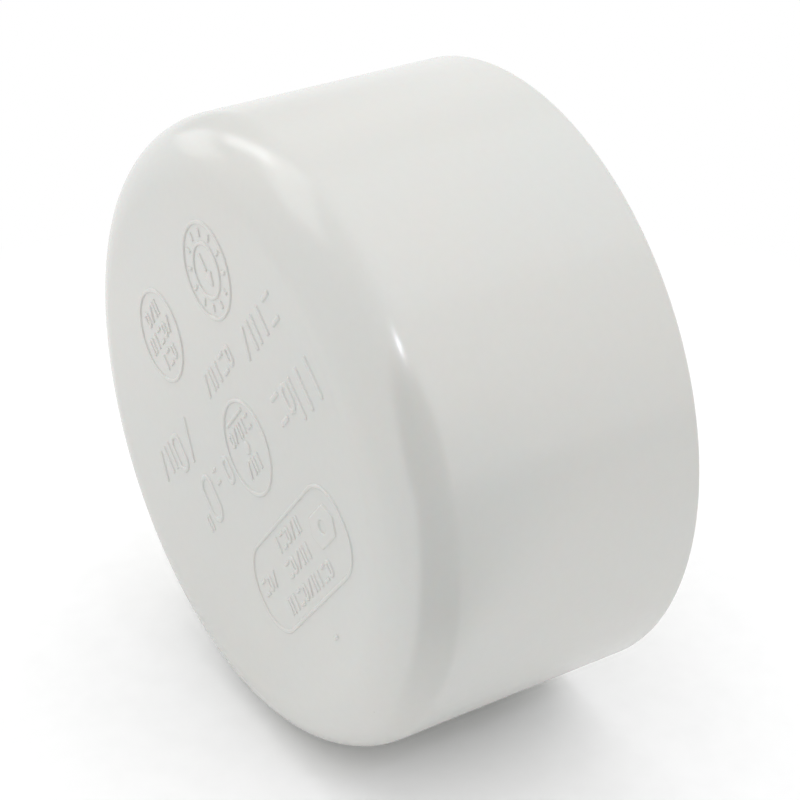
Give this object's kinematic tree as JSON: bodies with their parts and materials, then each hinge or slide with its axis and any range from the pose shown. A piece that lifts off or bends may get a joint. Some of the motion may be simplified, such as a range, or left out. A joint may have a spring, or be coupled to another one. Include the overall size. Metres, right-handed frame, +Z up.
{
  "type": "pipe cap",
  "caption": "Round PVC slip cap that closes the end of a 3 in sewer and drain pipe: a plain-sided cup with a large round corner and low raised marks on its closed face.",
  "frame": {"origin": "centre of the socket's bottom, on the cap's axis, in the plane where the end of the pipe stops", "axes": "+Y along the cap's axis, out of the socket's mouth, so the closed face looks along -Y; +Z up with the cap lying on its side; +X to the right as seen from outside the closed face"},
  "size_m": [0.089, 0.045, 0.089],
  "materials": {
    "pvc": "satin, moulded, off-white"
  },
  "bodies": {
    "root": {"cap_body": "pvc"}
  },
  "joints": []
}
